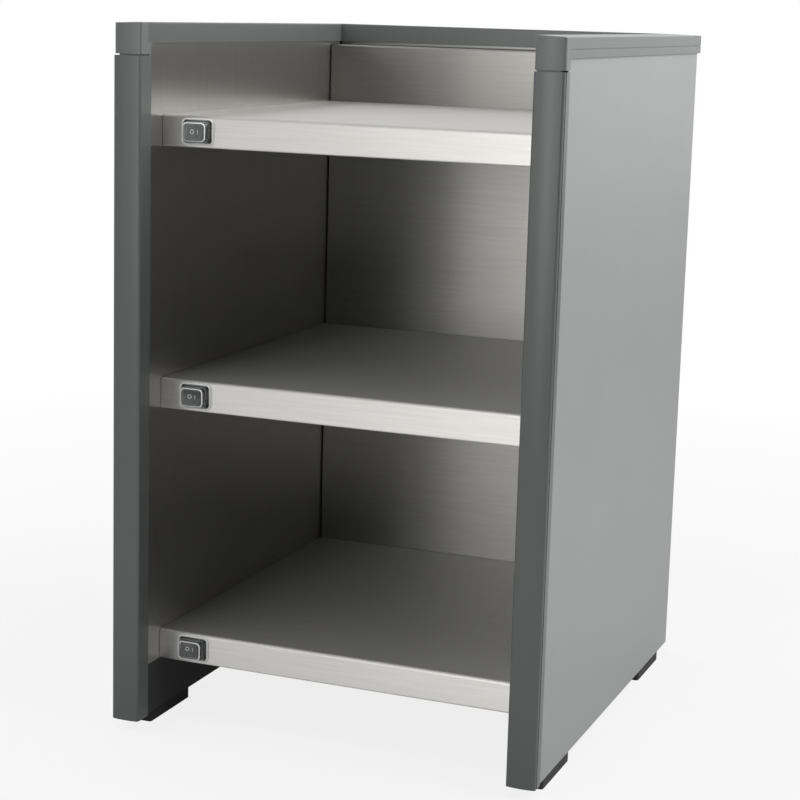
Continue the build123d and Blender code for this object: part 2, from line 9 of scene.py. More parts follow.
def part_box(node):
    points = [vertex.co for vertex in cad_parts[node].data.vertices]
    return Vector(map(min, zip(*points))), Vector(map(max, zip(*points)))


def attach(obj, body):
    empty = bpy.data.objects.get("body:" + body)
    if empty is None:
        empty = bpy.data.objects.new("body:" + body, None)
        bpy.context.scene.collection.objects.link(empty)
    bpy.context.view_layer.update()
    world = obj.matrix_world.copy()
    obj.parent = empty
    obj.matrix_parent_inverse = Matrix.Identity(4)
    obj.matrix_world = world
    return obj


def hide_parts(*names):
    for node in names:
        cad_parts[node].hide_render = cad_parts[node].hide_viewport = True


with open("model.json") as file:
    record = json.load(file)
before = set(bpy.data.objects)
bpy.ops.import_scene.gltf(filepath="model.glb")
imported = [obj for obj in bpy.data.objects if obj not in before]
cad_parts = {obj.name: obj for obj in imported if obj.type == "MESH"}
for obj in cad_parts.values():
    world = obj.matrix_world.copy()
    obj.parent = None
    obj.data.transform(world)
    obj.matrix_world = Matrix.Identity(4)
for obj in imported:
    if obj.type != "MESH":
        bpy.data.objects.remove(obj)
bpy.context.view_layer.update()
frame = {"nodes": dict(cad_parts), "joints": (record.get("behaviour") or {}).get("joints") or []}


# Camera. A long lens stands in front and well to the right, level with the
# cabinet's top. It looks down to the left, and its frame is shifted down a little.
yaw, pitch, roll = (math.radians(angle) for angle in (-21.334, 10.411, -1.626))
camera_place = (0.6288, -1.6572, 0.6165)
forward = Vector((math.sin(yaw) * math.cos(pitch), math.cos(yaw) * math.cos(pitch), -math.sin(pitch)))
level_right = Vector((math.cos(yaw), -math.sin(yaw), 0))
level_down = forward.cross(level_right)
image_right = level_right * math.cos(roll) + level_down * math.sin(roll)
image_down = level_down * math.cos(roll) - level_right * math.sin(roll)
camera_turn = Matrix((image_right, -image_down, -forward)).transposed().to_4x4()
lens = bpy.data.cameras.new("camera")
lens.lens = 90.03
lens.sensor_width = 36
lens.shift_y = -0.03
camera = bpy.data.objects.new("camera", lens)
camera.matrix_world = Matrix.Translation(camera_place) @ camera_turn
bpy.context.collection.objects.link(camera)
bpy.context.scene.camera = camera
bpy.context.scene.view_settings.view_transform = "Standard"


# Studio. A white room that gets dark towards the front right, because steel
# needs something dark to mirror. Four softboxes light the cabinet from the
# sides and the top, and two cards before it show only as gloss.
def linear(code):
    """An sRGB hex colour as linear RGBA."""
    parts = [int(code[i:i + 2], 16) / 255 for i in (1, 3, 5)]
    return [c / 12.92 if c <= 0.04045 else ((c + 0.055) / 1.055) ** 2.4 for c in parts] + [1]


def add(tree, kind, *links, **settings):
    """Adds a shader node: settings go to its properties or sockets, links join (socket, output)."""
    made = tree.nodes.new(kind)
    for name, value in settings.items():
        if hasattr(made, name):
            setattr(made, name, value)
        else:
            made.inputs[name.replace("_", " ")].default_value = value
    for socket, output in links:
        tree.links.new(made.inputs[socket], output)
    return made


def background_rays(tree):
    """Whether a ray is the camera's own, and whether it may see the white background at all."""
    path = add(tree, "ShaderNodeLightPath")
    own = path.outputs["Is Camera Ray"]
    glossy = add(tree, "ShaderNodeMath", (0, own), (1, path.outputs["Is Glossy Ray"]),
                 operation="MAXIMUM")
    any_ray = add(tree, "ShaderNodeMath", (0, glossy.outputs[0]), (1, path.outputs["Is Transmission Ray"]),
                  operation="MAXIMUM")
    return own, any_ray.outputs[0]


front_right = (0.45, -0.89, 0.0)
# The share of the white room that lights matt surfaces.
room_light = 0.28
room = bpy.data.worlds.new("studio room")
bpy.context.scene.world = room
room.use_nodes = True
tree = room.node_tree
tree.nodes.clear()
own_ray, background_ray = background_rays(tree)
direction = add(tree, "ShaderNodeTexCoord").outputs["Generated"]
towards = add(tree, "ShaderNodeVectorMath", (0, direction), operation="DOT_PRODUCT")
towards.inputs[1].default_value = front_right
mirrored = add(tree, "ShaderNodeMapRange", ("Value", towards.outputs["Value"]),
               From_Min=0.95, From_Max=-0.1, To_Min=0.03, To_Max=1.0)
level = add(tree, "ShaderNodeMix", ("Factor", own_ray), ("A", mirrored.outputs["Result"]), B=1.0)
glow = add(tree, "ShaderNodeBackground", ("Strength", level.outputs["Result"]), Color=linear("#ffffff"))
dim = add(tree, "ShaderNodeBackground", Color=linear("#ffffff"), Strength=room_light)
both = add(tree, "ShaderNodeMixShader", (0, background_ray), (1, dim.outputs[0]), (2, glow.outputs[0]))
add(tree, "ShaderNodeOutputWorld", ("Surface", both.outputs[0]))

# Place and target in metres, width, height, watts, and whether the lamp lights
# matt surfaces and shows in glossy ones.
for name, place, target, width, height, power, diffuse, glossy in (
    ("side softbox", (1.25, 0.1, 1.3), (0.19, 0.0, 0.45), 1.4, 1.4, 30, True, True),
    ("top softbox", (-0.1, 0.0, 1.9), (0.0, 0.0, 0.3), 1.8, 1.8, 9, True, False),
    ("left softbox", (-0.7, -0.9, 1.5), (0.0, 0.0, 0.5), 1.6, 1.6, 11, True, False),
    ("left fill", (-1.3, 0.5, 1.1), (-0.19, 0.05, 0.35), 1.2, 1.2, 12, True, False),
    ("wide front card", (-0.9, -2.4, 0.75), (0.0, 0.0, 0.4), 1.7, 1.4, 7.5, False, True),
    ("narrow front card", (-0.3, -2.4, 0.75), (0.0, 0.0, 0.4), 0.8, 1.4, 10, False, True),
):
    lamp = bpy.data.lights.new(name, "AREA")
    lamp.shape = "RECTANGLE"
    lamp.size = width
    lamp.size_y = height
    lamp.energy = power
    stand = bpy.data.objects.new(name, lamp)
    aim = (Vector(target) - Vector(place)).to_track_quat("-Z", "Y")
    stand.matrix_world = Matrix.Translation(place) @ aim.to_matrix().to_4x4()
    stand.visible_diffuse = diffuse
    stand.visible_glossy = glossy
    bpy.context.collection.objects.link(stand)


# Floor. A matt studio floor of painted board, far larger than the cabinet that
# stands on it. It carries the soft shadow and ends in the white of the room.
def material(name, base, **settings):
    """A new material with its shader; returns the material, its node tree and the shader."""
    made = bpy.data.materials.new(name)
    made.use_nodes = True
    tree = made.node_tree
    tree.nodes.clear()
    shader = add(tree, "ShaderNodeBsdfPrincipled", **settings)
    shader.inputs["Base Color"].default_value = linear(base)
    add(tree, "ShaderNodeOutputMaterial", ("Surface", shader.outputs[0]))
    made.diffuse_color = linear(base)
    return made, tree, shader


# Matt paint. The eye gets an even white that keeps the cabinet's shadow; steel
# mirrors it white in front of the cabinet and dim below it. That is painted light: in
# gloss its glow is set bright in front, as if the floor there were lit more. Roller marks 25 mm wide.
roller_mark = 0.025
sweep, tree, shader = material("matt white studio floor", "#f2f2f2", Roughness=0.9)
grain = add(tree, "ShaderNodeTexNoise", Scale=1 / roller_mark, Detail=3.0)
tone = add(tree, "ShaderNodeMapRange", ("Value", grain.outputs["Fac"]), To_Min=0.42, To_Max=0.46)
tint = add(tree, "ShaderNodeCombineColor", ("Red", tone.outputs[0]), ("Green", tone.outputs[0]),
           ("Blue", tone.outputs[0]))
tree.links.new(shader.inputs["Base Color"], tint.outputs[0])
white = add(tree, "ShaderNodeEmission", Color=linear("#ffffff"), Strength=1.0)
own_ray, background_ray = background_rays(tree)
place = add(tree, "ShaderNodeTexCoord").outputs["Object"]
split = add(tree, "ShaderNodeSeparateXYZ", ("Vector", place))
# Painted light: the glow that steel mirrors is bright in front of the cabinet and dim below it.
mirrored = add(tree, "ShaderNodeMapRange", ("Value", split.outputs["Y"]),
               From_Min=-0.5, From_Max=-0.15, To_Min=0.92, To_Max=0.16)
distance = add(tree, "ShaderNodeVectorMath", (0, place), operation="LENGTH")
faded = add(tree, "ShaderNodeMapRange", ("Value", distance.outputs["Value"]),
            From_Min=0.5, From_Max=1.5, To_Min=0.84, To_Max=1.0)
level = add(tree, "ShaderNodeMix", ("Factor", own_ray), ("A", mirrored.outputs[0]), ("B", faded.outputs[0]))
share = add(tree, "ShaderNodeMath", (0, level.outputs["Result"]), (1, background_ray), operation="MULTIPLY")
mixed = add(tree, "ShaderNodeMixShader", (0, share.outputs[0]), (1, shader.outputs[0]), (2, white.outputs[0]))
tree.links.new(tree.nodes["Material Output"].inputs["Surface"], mixed.outputs[0])

floor_half = 4.0
floor_setback = 2.2
ground = bmesh.new()
bmesh.ops.create_grid(ground, x_segments=1, y_segments=1, size=floor_half)
bmesh.ops.translate(ground, vec=(0, floor_setback, 0), verts=ground.verts[:])
data = bpy.data.meshes.new("floor")
ground.to_mesh(data)
ground.free()
data.materials.append(sweep)
floor = bpy.data.objects.new("floor", data)
bpy.context.collection.objects.link(floor)


# Outer side panels and rear cover. Folded sheet steel with its upper edges held
# between ribs of the rails, powder coated in a mid grey.
def finish_nodes(names, finish):
    """Puts a finish on pieces that come from the CAD."""
    for name in names:
        slots = frame["nodes"][name].data.materials
        slots.clear()
        slots.append(finish)


# Powder coat. The eye gets a soft even sheen, broken by orange peel of 2.4 mm
# and by slow changes of tone, 110 mm long, where the coat is thicker.
peel_width = 0.00238
cloud_width = 0.111
panel_coat, tree, shader = material("grey metallic powder coat", "#8a8b8b", Roughness=0.4, IOR=1.5)
place = add(tree, "ShaderNodeTexCoord").outputs["Object"]
peel = add(tree, "ShaderNodeTexNoise", ("Vector", place), Scale=1 / peel_width, Detail=2.0)
cloud = add(tree, "ShaderNodeTexNoise", ("Vector", place), Scale=1 / cloud_width, Detail=3.0)
tone = add(tree, "ShaderNodeMix", ("Factor", cloud.outputs["Fac"]), data_type="RGBA",
           A=linear("#878888"), B=linear("#8d8e8e"))
tree.links.new(shader.inputs["Base Color"], tone.outputs["Result"])
gloss = add(tree, "ShaderNodeMapRange", ("Value", peel.outputs["Fac"]), To_Min=0.36, To_Max=0.44)
tree.links.new(shader.inputs["Roughness"], gloss.outputs[0])
dimple = add(tree, "ShaderNodeBump", ("Height", peel.outputs["Fac"]), Strength=0.04, Distance=0.0002)
tree.links.new(shader.inputs["Normal"], dimple.outputs[0])
finish_nodes(("left_outer_panel", "right_outer_panel", "back_cover"), panel_coat)


# Front posts and top rails. Extruded aluminium, powder coated in one dark grey.
# The posts are hollow; the rails lie over the walls' upper edges, between the
# caps and the rear corners.

# Satin coat on an extrusion. The eye gets a clean semi-gloss with very faint
# lines along each length. Real die lines are 0.2 mm apart; they are drawn
# 1.4 mm apart so that they show, and 50 times as long as wide.
die_line_gap = 0.00143
die_line_squeeze = 0.02


def satin_extrusion(name, along_axis):
    """The dark satin coat, with die lines along the given axis of the piece."""
    coat, tree, shader = material(name, "#585c5b", Roughness=0.28, IOR=1.5)
    place = add(tree, "ShaderNodeTexCoord").outputs["Object"]
    along = add(tree, "ShaderNodeMapping", ("Vector", place),
                Scale=[die_line_squeeze if axis == along_axis else 1 for axis in "XYZ"])
    die = add(tree, "ShaderNodeTexNoise", ("Vector", along.outputs[0]), Scale=1 / die_line_gap, Detail=2.0)
    tone = add(tree, "ShaderNodeMix", ("Factor", die.outputs["Fac"]), data_type="RGBA",
               A=linear("#565a59"), B=linear("#5a5e5d"))
    tree.links.new(shader.inputs["Base Color"], tone.outputs["Result"])
    gloss = add(tree, "ShaderNodeMapRange", ("Value", die.outputs["Fac"]), To_Min=0.27, To_Max=0.29)
    tree.links.new(shader.inputs["Roughness"], gloss.outputs[0])
    dimple = add(tree, "ShaderNodeBump", ("Height", die.outputs["Fac"]), Strength=0.006, Distance=0.0002)
    tree.links.new(shader.inputs["Normal"], dimple.outputs[0])
    return coat


finish_nodes(("left_front_post", "right_front_post"), satin_extrusion("dark grey coat on extruded post", "Z"))
finish_nodes(("left_top_rail", "right_top_rail"), satin_extrusion("dark grey coat on side rail", "Y"))
finish_nodes(("rear_top_rail",), satin_extrusion("dark grey coat on rear rail", "X"))


# Caps, corners and plugs. Injection moulded, coloured to match the posts, and
# pushed into the hollow ends of the posts and rails.

# Moulded ABS. The spark-eroded mould gives the eye a soft satin; its real grain
# is 0.1 mm wide and is drawn 0.8 mm wide so that it shows.
spark_grain = 0.00077
moulded, tree, shader = material("dark grey moulded ABS", "#656968", Roughness=0.36, IOR=1.5)
place = add(tree, "ShaderNodeTexCoord").outputs["Object"]
spark = add(tree, "ShaderNodeTexNoise", ("Vector", place), Scale=1 / spark_grain, Detail=3.0)
tone = add(tree, "ShaderNodeMix", ("Factor", spark.outputs["Fac"]), data_type="RGBA",
           A=linear("#636766"), B=linear("#676b6a"))
tree.links.new(shader.inputs["Base Color"], tone.outputs["Result"])
dimple = add(tree, "ShaderNodeBump", ("Height", spark.outputs["Fac"]), Strength=0.05, Distance=0.0001)
tree.links.new(shader.inputs["Normal"], dimple.outputs[0])
finish_nodes(("left_front_cap", "right_front_cap", "left_rear_corner", "right_rear_corner",
              "left_post_plug", "right_post_plug"), moulded)


# Shelves. Stainless sheet, folded down at the front to a face that carries the
# switch, and at the ends to flanges that lie against the side walls.

# Brushed stainless. The eye gets fine lines one way and a gloss spread across
# them. Real 180 grit lines are 0.1 mm apart; they are drawn 0.7 mm apart so that
# they show, and 33 times as long as wide.
grit_gap = 0.0007
grit_squeeze = 0.03


def brushed(name, base, pale, roughness, along_axis, across):
    """Stainless with grit lines drawn long on one axis, and its gloss spread across them."""
    steel, tree, shader = material(name, base, Metallic=1.0, Roughness=roughness, Anisotropic=0.8)
    place = add(tree, "ShaderNodeTexCoord").outputs["Object"]
    along = add(tree, "ShaderNodeMapping", ("Vector", place),
                Scale=[grit_squeeze if axis == along_axis else 1 for axis in "XYZ"])
    lines = add(tree, "ShaderNodeTexNoise", ("Vector", along.outputs[0]), Scale=1 / grit_gap, Detail=3.0)
    gloss = add(tree, "ShaderNodeMapRange", ("Value", lines.outputs["Fac"]),
                To_Min=roughness - 0.03, To_Max=roughness + 0.03)
    tree.links.new(shader.inputs["Roughness"], gloss.outputs[0])
    bands = add(tree, "ShaderNodeTexNoise", ("Vector", along.outputs[0]), Scale=0.4 / grit_gap, Detail=1.0)
    banded = add(tree, "ShaderNodeMapRange", ("Value", bands.outputs["Fac"]), From_Min=0.3, From_Max=0.7)
    tone = add(tree, "ShaderNodeMix", ("Factor", banded.outputs[0]), data_type="RGBA",
               A=linear(base), B=linear(pale))
    tree.links.new(shader.inputs["Base Color"], tone.outputs["Result"])
    scratch = add(tree, "ShaderNodeBump", ("Height", lines.outputs["Fac"]), Strength=0.02, Distance=0.0001)
    tree.links.new(shader.inputs["Normal"], scratch.outputs[0])
    grit = add(tree, "ShaderNodeCombineXYZ", X=across[0], Y=across[1], Z=across[2])
    spread = add(tree, "ShaderNodeVectorTransform", ("Vector", grit.outputs[0]),
                 vector_type="VECTOR", convert_from="OBJECT", convert_to="WORLD")
    tree.links.new(shader.inputs["Tangent"], spread.outputs[0])
    return steel


shelves = ("top", "middle", "bottom")
finish_nodes([name + "_shelf_tray" for name in shelves],
             brushed("brushed stainless shelf", "#c5c4c0", "#cbcac6", 0.43, "X", (0, 1, 1)))


# Inner walls and back. Stainless sheet, glossier than the shelves and held at its
# upper edges by the rails; it is brushed upright on the side walls and level on the
# back, so that the eye gets soft mirror images of the shelves. It is the shelves'
# steel with painted shade: its colour is set darker than theirs for the shade inside
# the cabinet, and darker still on the back.
finish_nodes(("left_liner", "right_liner"),
             brushed("brushed stainless side wall in painted shade", "#aeada9", "#b3b2ae", 0.3, "Z", (0, 1, 0)))
finish_nodes(("back_liner",),
             brushed("brushed stainless back in deeper painted shade", "#9b9a96", "#a09f9b", 0.3, "X", (0, 0, 1)))


# Lower walls below the bottom shelf. Folded steel, coloured near black; the fold
# along its lower edge rests on the feet.

# Near-black finish. The eye gets a dull black, pebbled like fine leather, 1.1 mm
# from pebble to pebble.
pebble_width = 0.00111
skirt_near_black, tree, shader = material("near black lower wall finish", "#2a2a29", Roughness=0.6)
place = add(tree, "ShaderNodeTexCoord").outputs["Object"]
pebble = add(tree, "ShaderNodeTexVoronoi", ("Vector", place), Scale=1 / pebble_width)
tone = add(tree, "ShaderNodeMix", ("Factor", pebble.outputs["Distance"]), data_type="RGBA",
           A=linear("#242423"), B=linear("#30302f"))
tree.links.new(shader.inputs["Base Color"], tone.outputs["Result"])
dimple = add(tree, "ShaderNodeBump", ("Height", pebble.outputs["Distance"]), Strength=0.2, Distance=0.0002)
tree.links.new(shader.inputs["Normal"], dimple.outputs[0])
finish_nodes(("left_base_skirt", "right_base_skirt", "rear_base_skirt"), skirt_near_black)


# Floor plates of the shelves. Flat steel sheet, laid on the returns of each
# tray to close it from below.

# Galvanised sheet. The zinc freezes in spangles 11 mm wide, and the eye gets
# flat patches of slightly different greys.
spangle_width = 0.0111
zinc, tree, shader = material("galvanised sheet", "#a3a6a7", Metallic=0.9, Roughness=0.45)
place = add(tree, "ShaderNodeTexCoord").outputs["Object"]
spangle = add(tree, "ShaderNodeTexVoronoi", ("Vector", place), Scale=1 / spangle_width)
tone = add(tree, "ShaderNodeMix", ("Factor", spangle.outputs["Color"]), data_type="RGBA",
           A=linear("#989b9c"), B=linear("#b0b3b4"))
tree.links.new(shader.inputs["Base Color"], tone.outputs["Result"])
finish_nodes([name + "_shelf_floor" for name in shelves], zinc)


# Feet. Four flat blocks with round corners, moulded in rubber-modified plastic
# and fixed under the folds of the lower walls.

# Black moulded plastic. The eye gets a matt black with paler patches of
# handling, 4 mm wide.
handled_patch = 0.00385
foot_black, tree, shader = material("black moulded foot", "#1b1b1a", Roughness=0.7)
place = add(tree, "ShaderNodeTexCoord").outputs["Object"]
dust = add(tree, "ShaderNodeTexNoise", ("Vector", place), Scale=1 / handled_patch, Detail=4.0)
tone = add(tree, "ShaderNodeMix", ("Factor", dust.outputs["Fac"]), data_type="RGBA",
           A=linear("#161616"), B=linear("#232322"))
tree.links.new(shader.inputs["Base Color"], tone.outputs["Result"])
finish_nodes([side + "_" + end + "_foot" for side in ("left", "right") for end in ("front", "rear")],
             foot_black)


# Switches. A moulded housing snapped into the front face of each shelf, with a
# two-way rocker on trunnions; the mains inlet is moulded in the same plastic.
# The on and off signs are pad-printed on the two halves of each rocker.

# Polyamide. The eye gets black with small broken highlights; the real mould
# grain is 0.1 mm wide and is drawn 0.7 mm wide so that it shows.
switch_grain = 0.000667
polyamide, tree, shader = material("black polyamide switch", "#101011", Roughness=0.32)
place = add(tree, "ShaderNodeTexCoord").outputs["Object"]
spark = add(tree, "ShaderNodeTexNoise", ("Vector", place), Scale=1 / switch_grain, Detail=2.0)
gloss = add(tree, "ShaderNodeMapRange", ("Value", spark.outputs["Fac"]), To_Min=0.26, To_Max=0.42)
tree.links.new(shader.inputs["Roughness"], gloss.outputs[0])
finish_nodes([name + "_switch_body" for name in shelves] + [name + "_rocker" for name in shelves]
             + ["mains_inlet"], polyamide)

# Pad-printing ink. The eye gets a flat white, a little thinner in specks of 0.4 mm.
ink_speck = 0.0004
ink, tree, shader = material("white pad-printed ink", "#f0f0ee", Roughness=0.55)
place = add(tree, "ShaderNodeTexCoord").outputs["Object"]
speck = add(tree, "ShaderNodeTexNoise", ("Vector", place), Scale=1 / ink_speck)
tone = add(tree, "ShaderNodeMix", ("Factor", speck.outputs["Fac"]), data_type="RGBA",
           A=linear("#e2e2e0"), B=linear("#fafaf8"))
tree.links.new(shader.inputs["Base Color"], tone.outputs["Result"])

print_height = 0.00012
sign_offset = 0.0037
pivot_to_print = 0.0050
ring_radius = 0.0018
ring_width = 0.0005
ring_sides = 40
bar_width = 0.0006
bar_height = 0.0036
right_half_turn = math.radians(-20)


def piece(name, mesh, body, finish, smooth=True):
    """A finished mesh as an object of its own that rides on a body."""
    data = bpy.data.meshes.new(name)
    mesh.to_mesh(data)
    mesh.free()
    data.polygons.foreach_set("use_smooth", [smooth] * len(data.polygons))
    data.materials.append(finish)
    made = bpy.data.objects.new(name, data)
    bpy.context.collection.objects.link(made)
    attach(made, body)
    return made


def extruded(mesh, faces, reach):
    """Gives flat faces a thickness along the given vector."""
    raised = bmesh.ops.extrude_face_region(mesh, geom=faces)
    moved = [v for v in raised["geom"] if isinstance(v, bmesh.types.BMVert)]
    bmesh.ops.translate(mesh, vec=reach, verts=moved)


for name in shelves:
    joint = next(j for j in frame["joints"] if j["name"] == name + "_rocker_tilt")
    pivot = Vector(joint["pos_m"])
    signs = bmesh.new()
    # The off ring lies on the left half, which is square to the shelf's face at rest.
    bmesh.ops.create_circle(signs, segments=ring_sides, radius=ring_radius, cap_ends=True)
    bmesh.ops.inset_region(signs, faces=signs.faces[:], thickness=ring_width, use_boundary=True)
    core = [f for f in signs.faces if len(f.verts) == ring_sides]
    bmesh.ops.delete(signs, geom=core, context="FACES_ONLY")
    extruded(signs, signs.faces[:], (0, 0, print_height))
    bmesh.ops.recalc_face_normals(signs, faces=signs.faces[:])
    left = (Matrix.Translation((pivot.x - sign_offset, pivot.y - pivot_to_print, pivot.z))
            @ Matrix.Rotation(math.radians(90), 4, "X"))
    bmesh.ops.transform(signs, matrix=left, verts=signs.verts[:])
    # The on bar lies on the right half, which is turned 20 degrees from the other.
    bar = bmesh.ops.create_cube(signs, size=1.0)["verts"]
    bmesh.ops.scale(signs, vec=(bar_width, print_height, bar_height), verts=bar)
    right = (Matrix.Translation(pivot) @ Matrix.Rotation(right_half_turn, 4, "Z")
             @ Matrix.Translation((sign_offset, -pivot_to_print - print_height / 2, 0)))
    bmesh.ops.transform(signs, matrix=right, verts=bar)
    made = piece(name + "_switch_signs", signs, name + "_switch", ink, smooth=False)


# Splash boots. Moulded in one piece with walls of 0.8 mm: a tapered dome over
# each rocker, and a web with a raised lip that the switch's bezel holds down.

# Clear silicone. The eye gets a wet gloss that is a little hazy in patches of
# 3.3 mm, with the switch seen through it.
haze_width = 0.00333
clear, tree, shader = material("clear moulded silicone", "#f6f8f8", Roughness=0.05, IOR=1.41,
                               Transmission_Weight=0.98)
place = add(tree, "ShaderNodeTexCoord").outputs["Object"]
haze = add(tree, "ShaderNodeTexNoise", ("Vector", place), Scale=1 / haze_width, Detail=2.0)
gloss = add(tree, "ShaderNodeMapRange", ("Value", haze.outputs["Fac"]), To_Min=0.02, To_Max=0.08)
tree.links.new(shader.inputs["Roughness"], gloss.outputs[0])

# Thick silicone. The same, but on the lip and round the dome's front it is so
# thick that the eye gets a milky white edge, clouded in patches of 2 mm. The white
# is partly that milkiness and partly a painted highlight where the curved edges
# would catch the lamps: the edge is an opaque near white.
milk_patch = 0.002
milky, tree, shader = material("milky thick silicone with painted highlight", "#f2f4f4", Roughness=0.2, IOR=1.41)
place = add(tree, "ShaderNodeTexCoord").outputs["Object"]
haze = add(tree, "ShaderNodeTexNoise", ("Vector", place), Scale=1 / milk_patch, Detail=2.0)
tone = add(tree, "ShaderNodeMix", ("Factor", haze.outputs["Fac"]), data_type="RGBA",
           A=linear("#eef0f0"), B=linear("#fbfcfc"))
tree.links.new(shader.inputs["Base Color"], tone.outputs["Result"])

boot_wall = 0.0008
lip_width = 0.0013
lip_height = 0.0012
web_width = 0.0045
web_inset = 0.0002
plate_corner = 0.0045
off_steel = 0.00002
dome_taper = (0.76, 1, 0.8)
dome_corner = 0.0036
dome_front_round = 0.0006


def rounded_sheet(mesh, width, height, corner, y):
    """A flat rounded rectangle that faces the front, at y in the given mesh."""
    before = set(mesh.verts)
    bmesh.ops.create_grid(mesh, x_segments=1, y_segments=1, size=0.5)
    corners = [v for v in mesh.verts if v not in before]
    bmesh.ops.transform(mesh, verts=corners, matrix=Matrix.Translation((0, y, 0))
                        @ Matrix.Rotation(math.radians(90), 4, "X")
                        @ Matrix.Diagonal((width, height, 1, 1)))
    bmesh.ops.bevel(mesh, geom=corners, offset=corner, segments=8, profile=0.5,
                    affect="VERTICES", material=-1)
    new = [v for v in mesh.verts if v not in before]
    return next(f for f in mesh.faces if all(v in new for v in f.verts))


for name in shelves:
    low, high = (Vector(c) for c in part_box(name + "_switch_boot"))
    middle = (low + high) / 2
    size = high - low
    boot = bmesh.new()
    bmesh.ops.create_cube(boot, size=1.0)
    bmesh.ops.scale(boot, verts=boot.verts[:],
                    vec=(size.x - 2 * lip_width, size.y - boot_wall, size.z - 2 * lip_width))
    bmesh.ops.translate(boot, vec=(0, -boot_wall / 2, 0), verts=boot.verts[:])
    front = [v for v in boot.verts if v.co.y < 0]
    bmesh.ops.scale(boot, verts=front, vec=dome_taper)
    sides = [e for e in boot.edges if abs(e.verts[0].co.y - e.verts[1].co.y) > size.y / 2]
    bmesh.ops.bevel(boot, geom=sides, offset=dome_corner, segments=8, profile=0.5,
                    affect="EDGES", material=-1)
    face = min(boot.faces, key=lambda f: f.calc_center_median().y)
    # The rounded edge takes the second material slot, the milky one with its painted highlight.
    bmesh.ops.bevel(boot, geom=face.edges[:], offset=dome_front_round, segments=5, profile=0.5,
                    affect="EDGES", material=1)
    rear = max(boot.faces, key=lambda f: f.calc_center_median().y)
    bmesh.ops.delete(boot, geom=[rear], context="FACES_ONLY")
    bmesh.ops.recalc_face_normals(boot, faces=boot.faces[:])
    bmesh.ops.solidify(boot, geom=boot.faces[:], thickness=boot_wall)
    # The web is a wide thin ring, and the lip a narrow and thicker one round it.
    for depth, width, inset, finish in (
        (boot_wall, web_width, web_inset, 0),
        (lip_height, lip_width, 0.0, 1),
    ):
        plate = rounded_sheet(boot, size.x - 2 * inset, size.z - 2 * inset, plate_corner,
                              size.y / 2 - off_steel)
        bmesh.ops.inset_region(boot, faces=[plate], thickness=width, use_boundary=True)
        ring = [f for f in boot.faces if f is not plate and any(e in f.edges for e in plate.edges)]
        bmesh.ops.delete(boot, geom=[plate], context="FACES_ONLY")
        before = set(boot.faces) - set(ring)
        extruded(boot, ring, (0, -depth, 0))
        for f in boot.faces:
            if f not in before:
                f.material_index = finish
    bmesh.ops.recalc_face_normals(boot, faces=boot.faces[:])
    bmesh.ops.transform(boot, verts=boot.verts[:], matrix=Matrix.Translation(middle))
    made = piece(name + "_splash_boot", boot, "cabinet", clear)
    made.data.materials.append(milky)
    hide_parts(name + "_switch_boot")


# Inside the shelves and behind the back. Heater mats lie under the top sheets,
# with wool pads below them; then come the thermal cut-outs, held leads, terminal
# block and the inlet's pins. None is seen while the cabinet is closed.

# Silicone on glass cloth. The eye gets a dull brick red with the cloth's weave,
# 1.4 mm from thread to thread.
weave = 0.00143
mat_rubber, tree, shader = material("red silicone heater mat", "#b0502c", Roughness=0.6)
place = add(tree, "ShaderNodeTexCoord").outputs["Object"]
glass_cloth = add(tree, "ShaderNodeTexVoronoi", ("Vector", place), Scale=1 / weave)
dimple = add(tree, "ShaderNodeBump", ("Height", glass_cloth.outputs["Distance"]),
             Strength=0.3, Distance=0.0003)
tree.links.new(shader.inputs["Normal"], dimple.outputs[0])
finish_nodes([name + "_heater_mat" for name in shelves], mat_rubber)

# Mineral wool. The eye gets a dull straw yellow in soft tufts of 2.6 mm.
tuft = 0.00263
wool, tree, shader = material("yellow mineral wool", "#b9ab7c", Roughness=0.95)
place = add(tree, "ShaderNodeTexCoord").outputs["Object"]
fibre = add(tree, "ShaderNodeTexNoise", ("Vector", place), Scale=1 / tuft, Detail=6.0)
dimple = add(tree, "ShaderNodeBump", ("Height", fibre.outputs["Fac"]), Strength=0.8, Distance=0.001)
tree.links.new(shader.inputs["Normal"], dimple.outputs[0])
finish_nodes([name + "_insulation_pad" for name in shelves], wool)

# Drawn aluminium. The eye gets a bright can with draw marks 1.25 mm apart.
draw_mark_gap = 0.00125
can, tree, shader = material("drawn aluminium can", "#c8c9cb", Metallic=1.0, Roughness=0.3)
place = add(tree, "ShaderNodeTexCoord").outputs["Object"]
draw_mark = add(tree, "ShaderNodeTexNoise", ("Vector", place), Scale=1 / draw_mark_gap)
gloss = add(tree, "ShaderNodeMapRange", ("Value", draw_mark.outputs["Fac"]), To_Min=0.22, To_Max=0.4)
tree.links.new(shader.inputs["Roughness"], gloss.outputs[0])
finish_nodes([name + "_thermostat" for name in shelves], can)

# Extruded PVC and moulded polyamide. The eye gets a dull skin, uneven by 1.1 mm.
skin_grain = 0.00111
for name, base, strength, nodes in (
    ("black PVC sheath", "#1a1a1b", 0.15,
     [shelf + "_shelf_lead" for shelf in shelves] + ["inlet_lead", "lead_grommets"]),
    ("natural polyamide terminal strip", "#d9d7cd", 0.1, ["terminal_block"]),
):
    plastic, tree, shader = material(name, base, Roughness=0.5)
    place = add(tree, "ShaderNodeTexCoord").outputs["Object"]
    skin = add(tree, "ShaderNodeTexNoise", ("Vector", place), Scale=1 / skin_grain)
    dimple = add(tree, "ShaderNodeBump", ("Height", skin.outputs["Fac"]), Strength=strength, Distance=0.0001)
    tree.links.new(shader.inputs["Normal"], dimple.outputs[0])
    finish_nodes(nodes, plastic)

